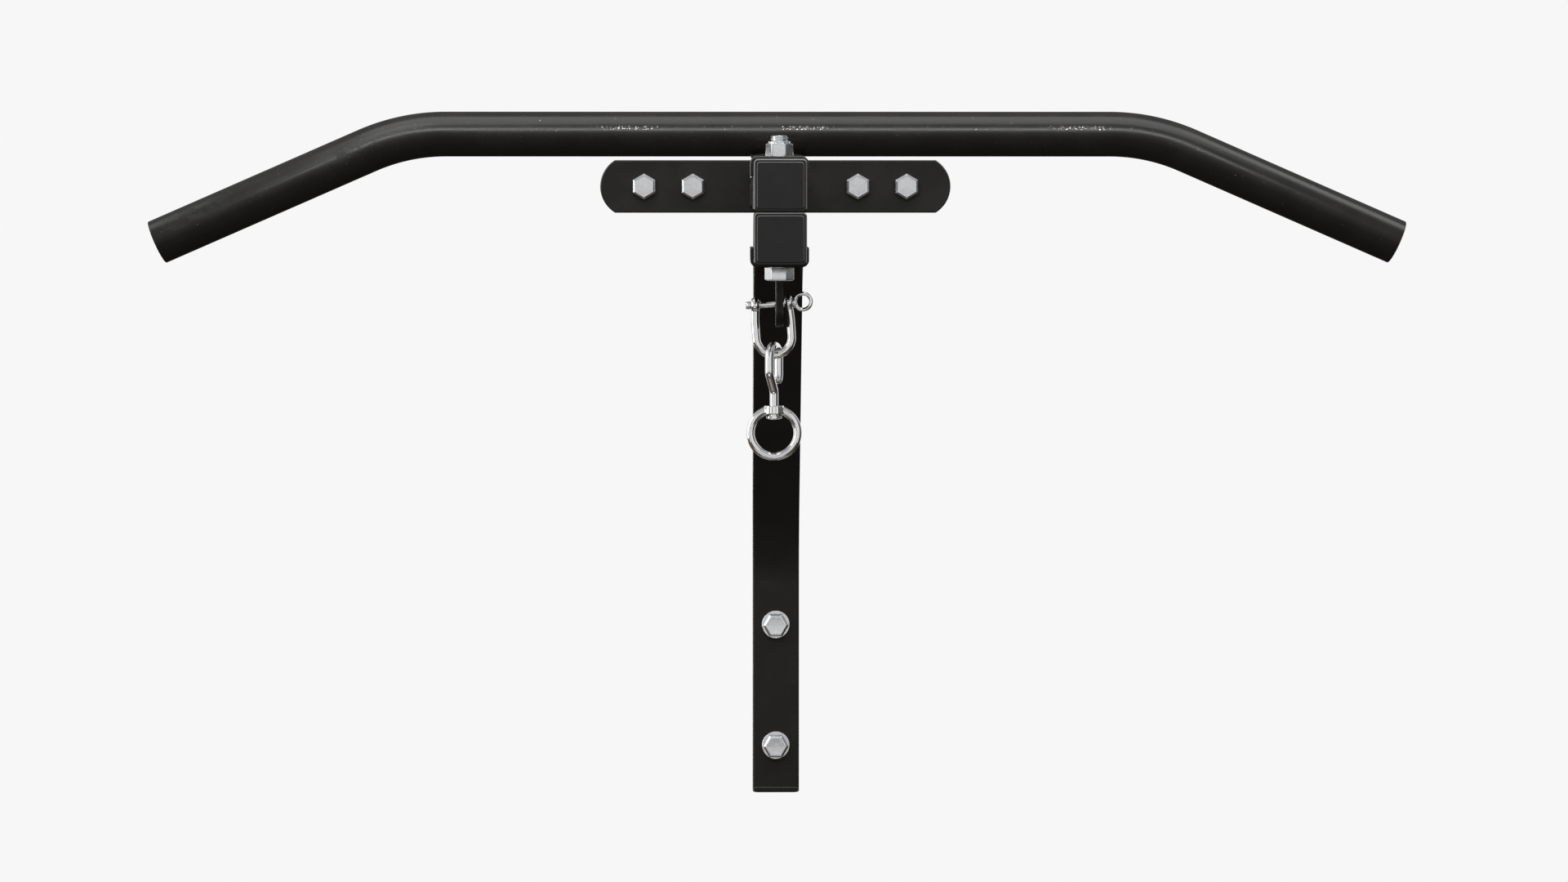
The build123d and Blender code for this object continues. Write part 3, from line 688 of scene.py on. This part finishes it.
def weld_bead(path, radius, side, seed, closed=False):
    """A rippled bead: overlapping scales along a path, each a little different."""
    draw = random.Random(seed)
    length = sum((b - a).length for a, b in zip(path, path[1:]))
    count = max(8, round(length / RIPPLE * RIPPLE_STEPS))
    points = spaced(path, count, closed)
    sizes = [1 + draw.uniform(-RIPPLE_SPREAD, RIPPLE_SPREAD)
             for _ in range(count // RIPPLE_STEPS + 2)]
    rings = []
    outline = circle(BEAD_SIDES)
    for i, point in enumerate(points):
        scale, phase = divmod(i, RIPPLE_STEPS)
        phase /= RIPPLE_STEPS
        size = sizes[scale] * (1 - phase) + sizes[scale + 1] * phase
        swell = 1 + RIPPLE_DEPTH * (math.sin(math.pi * phase) - 0.5)
        thin = BEAD_END + BEAD_END_RISE * min(i, count - i) / count
        end = 1.0 if closed else min(1.0, thin)
        ahead = points[(i + 1) % len(points)] if closed else points[min(i + 1, len(points) - 1)]
        behind = points[i - 1] if closed or i else points[0]
        along = (ahead - behind).normalized()
        across = (side - along * side.dot(along)).normalized()
        up = along.cross(across)
        r = radius * size * swell * end
        rings.append([point + (across * x + up * y) * r for x, y in outline])
    return ring_mesh(rings, cap_start=not closed, cap_end=not closed, closed=closed)


def spaced(path, count, closed):
    """Points spread evenly along a path."""
    lengths = [0.0]
    for a, b in zip(path, path[1:]):
        lengths.append(lengths[-1] + (b - a).length)
    wanted = [lengths[-1] * i / count for i in range(count if closed else count + 1)]
    points, k = [], 0
    for at in wanted:
        while k < len(path) - 2 and lengths[k + 1] < at:
            k += 1
        share = (at - lengths[k]) / (lengths[k + 1] - lengths[k])
        points.append(path[k].lerp(path[k + 1], share))
    return points


# ---- Pieces ----------------------------------------------------------------------------------

BAR_RADIUS = 0.018
BAR_WALL = 0.0025
BAR_BEND_X = 0.2996
BAR_END_X = 0.4989
BAR_MID_Z = 0.0416
BAR_END_Z = -0.0452
BAR_BEND = 0.158
BAR_MOUTH_DEPTH = 0.030
BAR_LIP = 0.0005
LIP_ANGLES = (0.0, 0.5, 1.0, math.pi / 2)
BAR_STEP = 0.002
BAR_SIDES = 96


def make_bar():
    """The pull-up bar: a bent tube with rounded lips and an open, plugged end on both sides."""
    low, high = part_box("bar_tube")
    y = (low.y + high.y) / 2
    corners = [Vector((-BAR_END_X, y, BAR_END_Z)), Vector((-BAR_BEND_X, y, BAR_MID_Z)),
               Vector((BAR_BEND_X, y, BAR_MID_Z)), Vector((BAR_END_X, y, BAR_END_Z))]
    path = rounded_path(corners, BAR_BEND, BAR_STEP)
    left = (path[0] - path[1]).normalized()
    right = (path[-1] - path[-2]).normalized()
    set_in = [BAR_LIP * (1 - math.sin(t)) for t in LIP_ANGLES]
    lip = [BAR_RADIUS - BAR_LIP * (1 - math.cos(t)) for t in LIP_ANGLES]
    inner = BAR_RADIUS - BAR_WALL
    route = [path[0] - left * BAR_MOUTH_DEPTH, path[0] - left * 2 * BAR_LIP, path[0]]
    route += [path[0] - left * depth for depth in reversed(set_in)] + path[1:-1]
    route += [path[-1] - right * depth for depth in set_in]
    route += [path[-1], path[-1] - right * 2 * BAR_LIP, path[-1] - right * BAR_MOUTH_DEPTH]
    mouth = [inner, inner, inner + BAR_LIP]
    radii = mouth + lip[::-1] + [BAR_RADIUS] * (len(path) - 2) + lip + mouth[::-1]
    outline = circle(BAR_SIDES)
    rings = []
    for point, radius in zip(route, radii):
        up = bar_direction(point).cross(BACK)
        rings.append([point + (BACK * x + up * z) * radius for x, z in outline])
    skin = ring_mesh(rings, cap_start=True, cap_end=True)
    add_piece("pull_up_bar", [skin], "bracket", "black_coat", "bar_tube", look=COAT_WITH_SCUFFS_AND_GLINTS)


def bar_direction(point):
    """Direction of the bar's centre line at a point on it."""
    lean = math.atan2(BAR_MID_Z - BAR_END_Z, BAR_END_X - BAR_BEND_X)
    tangent = BAR_BEND * math.tan(lean / 2)
    start = BAR_BEND_X - tangent
    past = abs(point.x) - start
    if past <= 0:
        angle = 0.0
    else:
        angle = min(lean, math.asin(min(1.0, past / BAR_BEND)))
    side = math.copysign(1, point.x)
    return Vector((math.cos(angle), 0, -side * math.sin(angle)))


PLATE_SCREW_XS = (-0.1133, -0.0712, 0.0712, 0.1133)
FOOT_SCREW_ZS = (-0.3763, -0.4809)
PLATE_SCREW_FLATS = 0.0194
FOOT_SCREW_FLATS = 0.0190
SCREW_HEAD_HIGH = 0.008
SCREW_SHANK_RADIUS = 0.006
SCREW_CORE_RADIUS = 0.0043
SCREW_PITCH = 0.005
SCREW_TOOTH = 0.20
SCREW_BEVEL = 0.0016
SCREW_PLAIN_TO = 0.018
SCREW_POINT = 0.012
SCREW_STEP = 0.001
SCREW_EDGE = 0.00022
SHANK_OVERLAP = 0.002
HEAD_RIM = 0.0012
HEAD_RIM_SINK = 0.00008
HEAD_DISH = 0.00012


def hex_head(origin, axis, side, across_flats, high, bevel, turn):
    """Hexagon head with a straight bevel round its outer face, which is dished a little."""
    apothem = across_flats / 2
    profile = [(0, 0.2 * apothem), (0, apothem), (high - bevel, apothem), (high, apothem - bevel),
               (high - HEAD_RIM_SINK, apothem - bevel - HEAD_RIM), (high - HEAD_DISH, 0.001)]
    return solid_lathe(origin, axis, side, profile, shape=hexagon, turn=turn)


def coach_screws(name, seats, across_flats, turn, node):
    """Hexagon coach screws with real wood threads, heads towards the front."""
    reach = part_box(node)[1].y
    heads, shanks = [], []
    for seat in seats:
        heads.append(hex_head(seat, -BACK, RIGHT, across_flats, SCREW_HEAD_HIGH, SCREW_BEVEL,
                              turn))
        wall = Vector((seat.x, SCREW_PLAIN_TO, seat.z))
        plain = wall.y - seat.y
        profile = [(-SHANK_OVERLAP, SCREW_SHANK_RADIUS), (plain - SCREW_STEP, SCREW_SHANK_RADIUS),
                   (plain + SCREW_STEP, SCREW_CORE_RADIUS)]
        shanks.append(solid_lathe(seat, BACK, RIGHT, profile, SHANK_SIDES))
        shanks.append(thread_skin(wall, BACK, RIGHT, 0, reach - wall.y, SCREW_CORE_RADIUS,
                                  SCREW_SHANK_RADIUS, SCREW_PITCH, SCREW_TOOTH, SCREW_POINT))
    piece = add_piece(name + "_heads", heads, "bracket", "zinc", node)
    soften_edges(piece, SCREW_EDGE)
    add_piece(name + "_shanks", shanks, "bracket", "zinc")


def make_screws():
    """Four screws in the wall plate, and two with washers in the brace's foot."""
    plate_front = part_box("wall_plate")[0].y
    washer_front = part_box("foot_washers")[0].y
    plate_seats = [Vector((x, plate_front, 0)) for x in PLATE_SCREW_XS]
    foot_seats = [Vector((0, washer_front, z)) for z in FOOT_SCREW_ZS]
    coach_screws("plate_screw", plate_seats, PLATE_SCREW_FLATS, 0.0, "plate_screws")
    coach_screws("foot_screw", foot_seats, FOOT_SCREW_FLATS, math.radians(30), "foot_screws")


BOLT_RADIUS = 0.0069
BOLT_CORE_RADIUS = 0.0060
BOLT_PITCH = 0.0020
BOLT_TOOTH = 0.42
BOLT_END_BEVEL = 0.0006
BOLT_END_LONG = 0.002
BOLT_HEAD_FLATS = 0.0199
BOLT_HEAD_BEVEL = 0.0010
BOLT_HEAD_EDGE = 0.0004
BOLT_HEAD_TURN = math.radians(33)
BOLT_SEAT_RADIUS = 0.00925
BOLT_SEAT_HIGH = 0.0005
BOLT_SEAT_OVERLAP = 0.001
BOLT_THREAD_FROM = 0.012


def make_bolt():
    """The long bolt: bevelled head below, plain shank, rolled thread through the nut."""
    low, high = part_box("hanger_bolt")
    y = (low.y + high.y) / 2
    seat = Vector((0, y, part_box("bottom_saddle")[0].z))
    head = hex_head(seat - UP * BOLT_SEAT_HIGH, -UP, RIGHT, BOLT_HEAD_FLATS,
                    seat.z - low.z - BOLT_SEAT_HIGH, BOLT_HEAD_BEVEL, BOLT_HEAD_TURN)
    collar = solid_lathe(seat, -UP, RIGHT, [(-BOLT_SEAT_OVERLAP, BOLT_SEAT_RADIUS),
                                            (BOLT_SEAT_OVERLAP, BOLT_SEAT_RADIUS)])
    shank = solid_lathe(seat, UP, RIGHT, [(-SHANK_OVERLAP, BOLT_RADIUS),
                                          (BOLT_THREAD_FROM - seat.z, BOLT_RADIUS)])
    base = Vector((0, y, BOLT_THREAD_FROM))
    top = high.z - BOLT_THREAD_FROM
    thread = thread_skin(base, UP, RIGHT, 0, top - BOLT_END_BEVEL, BOLT_CORE_RADIUS, BOLT_RADIUS,
                         BOLT_PITCH, BOLT_TOOTH)
    end = solid_lathe(base, UP, RIGHT, [(top - BOLT_END_LONG, BOLT_CORE_RADIUS),
                                        (top - BOLT_END_BEVEL, BOLT_CORE_RADIUS),
                                        (top, BOLT_CORE_RADIUS - BOLT_END_BEVEL)])
    piece = add_piece("bolt_head", [head, collar], "bracket", "zinc", "hanger_bolt")
    soften_edges(piece, BOLT_HEAD_EDGE, segments=3)
    add_piece("bolt_shank", [shank, thread, end], "bracket", "zinc")


NUT_FLATS = 0.019
NUT_HEX_HIGH = 0.010
NUT_COLLAR_RADIUS = 0.0088
NUT_BORE_RADIUS = 0.0070
NUT_TURN = math.radians(25.5)
NUT_EDGE = 0.00025
NUT_CORNER = 1.142
# Height and largest radius of the nut's corners, which a cone cuts at both ends
NUT_CONE = ((0.0, 0.0101), (0.0004, 0.0106), (0.0010, 0.0112), (NUT_HEX_HIGH - 0.0012, 0.0112),
            (NUT_HEX_HIGH - 0.0005, 0.0106), (NUT_HEX_HIGH, 0.0098))


def make_nut():
    """Lock nut: hexagon with cone-cut corners and a turned collar rolled over a nylon ring."""
    low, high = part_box("lock_nut")
    seat = Vector((0, (low.y + high.y) / 2, low.z))
    total = high.z - low.z
    apothem = NUT_FLATS / 2
    across = UP.cross(RIGHT)
    rings = []
    for height, limit in NUT_CONE:
        ring = []
        for i in range(LATHE_SIDES):
            t = math.tau * i / LATHE_SIDES
            r = min(apothem * hexagon(t), limit, apothem * NUT_CORNER)
            out = RIGHT * math.cos(t + NUT_TURN) + across * math.sin(t + NUT_TURN)
            ring.append(seat + UP * height + out * r)
        rings.append(ring)
    lip = [(NUT_HEX_HIGH, NUT_COLLAR_RADIUS), (total - 0.0009, NUT_COLLAR_RADIUS),
           (total - 0.0003, NUT_COLLAR_RADIUS - 0.0003), (total, NUT_COLLAR_RADIUS - 0.0009),
           (total - 0.0002, NUT_BORE_RADIUS + 0.0010), (total - 0.0006, NUT_BORE_RADIUS + 0.0007),
           (NUT_HEX_HIGH, NUT_BORE_RADIUS), (0.0, NUT_BORE_RADIUS)]
    rings += lathe(seat, UP, RIGHT, lip, turn=NUT_TURN)
    skin = ring_mesh(rings, closed=True)
    piece = add_piece("lock_nut_body", [skin], "bracket", "zinc", "lock_nut")
    soften_edges(piece, NUT_EDGE)


ARM_BEAD_RADIUS = 0.00165
ARM_BEAD_CORNER = 0.0036
ARM_BEAD_OUT = 0.0006
ARM_BEAD_STEP = 0.001
BAR_BEAD_RADIUS = 0.0025
BAR_BEAD_INSET = 0.0026
BRACKET_BEAD_RADIUS = 0.0019
LUG_BEAD_RADIUS = 0.0020
LUG_BEAD_DROP = 0.0003
SIDE_BEAD_INSET = 0.0021


def make_welds():
    """Rippled weld beads, where CAD has plain ones."""
    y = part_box("wall_plate")[0].y - ARM_BEAD_OUT
    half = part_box("arm_tube")[1].x + ARM_BEAD_OUT
    square = [Vector((x * half, y, z * half)) for x, z in ((-1, -1), (1, -1), (1, 1), (-1, 1))]
    mid = (square[3] + square[0]) / 2
    loop = rounded_path([mid] + square + [mid], ARM_BEAD_CORNER, ARM_BEAD_STEP)
    bead = weld_bead(loop, ARM_BEAD_RADIUS, BACK, seed=11, closed=True)
    add_piece("arm_bead", [bead], "bracket", "black_weld", "arm_weld")

    low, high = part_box("bar_welds")
    front = low.y + BAR_BEAD_INSET
    start, end = Vector((low.x, front, low.z)), Vector((high.x, front, low.z))
    apart = BACK * (high.y - low.y - 2 * BAR_BEAD_INSET)
    straight_beads("bar_beads", "bar_welds", start, end, apart, BAR_BEAD_RADIUS, seed=21)
    side_beads("bracket_beads", "bracket_welds", 0.0, BRACKET_BEAD_RADIUS, seed=31)
    side_beads("lug_beads", "lug_welds", LUG_BEAD_DROP, LUG_BEAD_RADIUS, seed=41)


def side_beads(name, node, drop, radius, seed):
    """Two straight beads along the upper edges of a CAD node's box, left and right."""
    low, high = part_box(node)
    x, z = low.x + SIDE_BEAD_INSET, high.z - drop
    apart = RIGHT * (high.x - low.x - 2 * SIDE_BEAD_INSET)
    straight_beads(name, node, Vector((x, low.y, z)), Vector((x, high.y, z)), apart, radius, seed)


def straight_beads(name, node, start, end, apart, radius, seed):
    """A straight bead from start to end, and a second one beside it."""
    beads = [weld_bead([start + apart * k, end + apart * k], radius, UP, seed + k)
             for k in range(2)]
    add_piece(name, beads, "bracket", "black_weld", node)


# The shackle's own frame: X along its pin, Z towards the lug's top
PIN_AT = Vector(joints["shackle_swing"]["pos_m"])
PIN_AXIS = Vector(joints["shackle_swing"]["axis"]).normalized()
EAR_X = 0.01315
EAR_RADIUS = 0.0058
EAR_HALF = 0.0034
EAR_EDGE = 0.0030
EAR_SIDES = 56
BOW_HALF = 0.014
BOW_ROD = 0.00325
BOW_ARC_Z = -0.0262
BOW_SHOULDER_Z = -0.015
LEG_STEPS = 8
ARC_STEPS = 24
ROD_SIDES = 40
BOW_VOXEL = 0.00030
BOW_PASSES = 3
DRILL_HALF = 0.03
PIN_RADIUS = 0.0032
PIN_HOLE = 0.00325
PIN_END_X = -0.0206
PIN_THREAD_TO = -0.0080
PIN_PITCH = 0.0010
PIN_THREAD_DEEP = 0.0005
PIN_TOOTH = 0.45
PIN_PLAIN = ((-0.0085, PIN_RADIUS), (0.0183, PIN_RADIUS))
# Place along the pin and radius of its rounded end, and of the shoulder under its eye
PIN_END = ((PIN_END_X, 0.0022), (PIN_END_X + 0.0005, 0.0028), (PIN_END_X + 0.0015, 0.0028))
PIN_SHOULDER = ((0.01670, 0.0038), (0.01695, 0.0043), (0.0182, 0.0043), (0.0188, 0.0030))
EYE_X = 0.0246
EYE_RADIUS = 0.0063
EYE_ROD = 0.00155
EYE_VOXEL = 0.00018
EYE_PASSES = 2


def shackle_point(x, y, z):
    """A point of the shackle's own frame in the CAD's frame."""
    return PIN_AT + PIN_AXIS * x + BACK * y + PIN_AXIS.cross(BACK) * z


def disc_profile(radius, half, edge):
    """Half section of a disc with rounded edges, from one face to the other."""
    arc = [i * math.pi / 12 for i in range(7)]
    corner = [(half - edge * (1 - math.sin(t)), radius - edge * (1 - math.cos(t))) for t in arc]
    return [(-height, r) for height, r in reversed(corner)] + corner


def make_bow():
    """The shackle's bow: a forged rod bent to a U that swells into two bored ears."""
    legs = []
    for i in range(LEG_STEPS + 1):
        share = i / LEG_STEPS
        ease = share * share * (3 - 2 * share)
        legs.append((EAR_X + (BOW_HALF - EAR_X) * ease, BOW_SHOULDER_Z * share))
    for i in range(1, ARC_STEPS + 1):
        t = math.pi / 2 * i / ARC_STEPS
        legs.append((BOW_HALF * math.cos(t), BOW_ARC_Z - BOW_HALF * math.sin(t)))
    left = [shackle_point(-x, 0, z) for x, z in legs]
    right = [shackle_point(x, 0, z) for x, z in reversed(legs[:-1])]
    path = left + right
    rings = sweep_rings(path, [BOW_ROD] * len(path), circle(ROD_SIDES), BACK)
    shells = [ring_mesh(rings, cap_start=True, cap_end=True)]
    for side in (-1, 1):
        shells.append(solid_lathe(shackle_point(side * EAR_X, 0, 0), PIN_AXIS, BACK,
                                  disc_profile(EAR_RADIUS, EAR_HALF, EAR_EDGE), EAR_SIDES))
    piece = add_piece("shackle_body", shells, "shackle", "polished", "shackle_bow")
    fuse(piece, BOW_VOXEL, BOW_PASSES)
    bore(piece, shackle_point(-DRILL_HALF, 0, 0), PIN_AXIS, BACK, PIN_HOLE, 2 * DRILL_HALF)


def make_pin():
    """The shackle's screw pin: thread at its free end, shoulder, and an eye to turn it by."""
    plain = solid_lathe(PIN_AT, PIN_AXIS, BACK, PIN_PLAIN, SHANK_SIDES)
    thread = thread_skin(PIN_AT, PIN_AXIS, BACK, PIN_END_X + 0.0006, PIN_THREAD_TO,
                         PIN_RADIUS - PIN_THREAD_DEEP, PIN_RADIUS, PIN_PITCH, PIN_TOOTH)
    end = solid_lathe(PIN_AT, PIN_AXIS, BACK, PIN_END, SHANK_SIDES)
    shoulder = solid_lathe(PIN_AT, PIN_AXIS, BACK, PIN_SHOULDER, SHANK_SIDES)
    eye = []
    for x, z in circle(64):
        out = shackle_point(x, 0, z) - PIN_AT
        centre = shackle_point(EYE_X, 0, 0) + out * EYE_RADIUS
        eye.append([centre + (out * a + BACK * b) * EYE_ROD for a, b in circle(24)])
    shells = [shoulder, ring_mesh(eye, closed=True)]
    head = add_piece("pin_eye", shells, "pin", "polished", "shackle_pin")
    fuse(head, EYE_VOXEL, EYE_PASSES)
    add_piece("pin_shank", [plain, thread, end], "pin", "polished")


HOOK_ROD = 0.0034
HOOK_TURN = math.radians(24)
HOOK_LOOP = 0.0092
HOOK_LOOP_Z = -0.1344
HOOK_KNEE_Z = -0.1470
HOOK_SHANK_Z = -0.1610
HOOK_BEND = 0.009
HOOK_REAR_Z = -0.1475
HOOK_TIP_ANGLE = math.radians(45)
SHANK_END_Z = -0.1831
HOOK_STEP = 0.0005
HOOK_RINGS = 260
# How much the hook's rod thins at its last points, the last one first
HOOK_TIP_INSETS = (0.0009, 0.00035, 0.0001)
SWIVEL_AT = Vector(joints["ring_swivel"]["pos_m"])


def make_hook():
    """The swivel hook: round rod bent to an open loop, with a blunt, rounded tip."""
    back = Vector((math.sin(HOOK_TURN), math.cos(HOOK_TURN), 0))

    def point(u, z):
        return Vector((SWIVEL_AT.x, SWIVEL_AT.y, 0)) + back * u + UP * z

    corners = [point(0, SHANK_END_Z), point(0, HOOK_SHANK_Z), point(-HOOK_LOOP, HOOK_KNEE_Z),
               point(-HOOK_LOOP, HOOK_LOOP_Z)]
    path = rounded_path(corners, HOOK_BEND, HOOK_STEP)
    path += [point(-HOOK_LOOP * math.cos(t), HOOK_LOOP_Z + HOOK_LOOP * math.sin(t))
             for t in (math.pi * i / 48 for i in range(1, 49))]
    centre = HOOK_LOOP - HOOK_BEND
    path += [point(centre + HOOK_BEND * math.cos(t), HOOK_REAR_Z - HOOK_BEND * math.sin(t))
             for t in (HOOK_TIP_ANGLE * i / 14 for i in range(15))]
    rod = spaced(path, HOOK_RINGS, closed=False)
    radii = [HOOK_ROD] * len(rod)
    for i, inset in enumerate(HOOK_TIP_INSETS):
        radii[-1 - i] = HOOK_ROD - inset
    rings = sweep_rings(rod, radii, circle(ROD_SIDES), back.cross(UP))
    skin = ring_mesh(rings, cap_start=True, cap_end=True)
    add_piece("hook_rod", [skin], "hook", "polished", "swivel_hook", smooth=50.0)


COLLAR_RADIUS = 0.0064
COLLAR_FACETS = 12


def make_collar():
    """The riveted collar that holds the ring: a thick washer with small facets round its rim."""
    low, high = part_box("swivel_collar")
    top = Vector((SWIVEL_AT.x, SWIVEL_AT.y, high.z))
    total = high.z - low.z
    facet = COLLAR_RADIUS * math.cos(math.pi / COLLAR_FACETS)
    profile = [(0, 0.0036), (0, facet - 0.0004), (0.0004, facet), (total - 0.0005, facet),
               (total, facet - 0.0006), (total, 0.0037)]
    rim = lathe(top, -UP, RIGHT, profile, shape=polygon_shape(COLLAR_FACETS))
    profile = [(total + 0.0001, 0.0036), (total - 0.0001, 0.0030), (total, 0.0015)]
    riveted = lathe(top, -UP, RIGHT, profile)
    skin = ring_mesh(rim + riveted, cap_start=True, cap_end=True)
    add_piece("collar_ring", [skin], "hook", "polished", "swivel_collar")


RING_RADIUS = 0.01855
RING_ROD = 0.0033
BOSS_RADIUS = 0.0077
BOSS_BORE = 0.003475
BOSS_HIGH = 0.0072
BOSS_EDGE = 0.0010
BOSS_SIDES = 64
BOSS_DRILL_PAST = 0.005
RING_VOXEL = 0.00030
RING_PASSES = 5


def make_ring():
    """The swivel ring: a round ring forged with a bored boss at its top."""
    rings = []
    for x, z in circle(120):
        out = Vector((x, 0, z))
        centre = SWIVEL_AT + out * RING_RADIUS
        rings.append([centre + (out * a + BACK * b) * RING_ROD for a, b in circle(32)])
    top = Vector((SWIVEL_AT.x, SWIVEL_AT.y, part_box("swivel_ring")[1].z))
    middle = top - UP * BOSS_HIGH / 2
    profile = disc_profile(BOSS_RADIUS, BOSS_HIGH / 2, BOSS_EDGE)
    boss = solid_lathe(middle, -UP, RIGHT, profile, BOSS_SIDES)
    shells = [ring_mesh(rings, closed=True), boss]
    piece = add_piece("ring_body", shells, "ring", "polished", "swivel_ring")
    fuse(piece, RING_VOXEL, RING_PASSES)
    bore(piece, top + UP * BOSS_DRILL_PAST, -UP, RIGHT, BOSS_BORE,
         BOSS_HIGH + 2 * BOSS_DRILL_PAST)


paint_cad_nodes()
make_bar()
make_screws()
make_bolt()
make_nut()
make_welds()
make_bow()
make_pin()
make_hook()
make_collar()
make_ring()
make_camera()
make_world()
make_floor()
make_lights()
scene.view_settings.view_transform = "Standard"
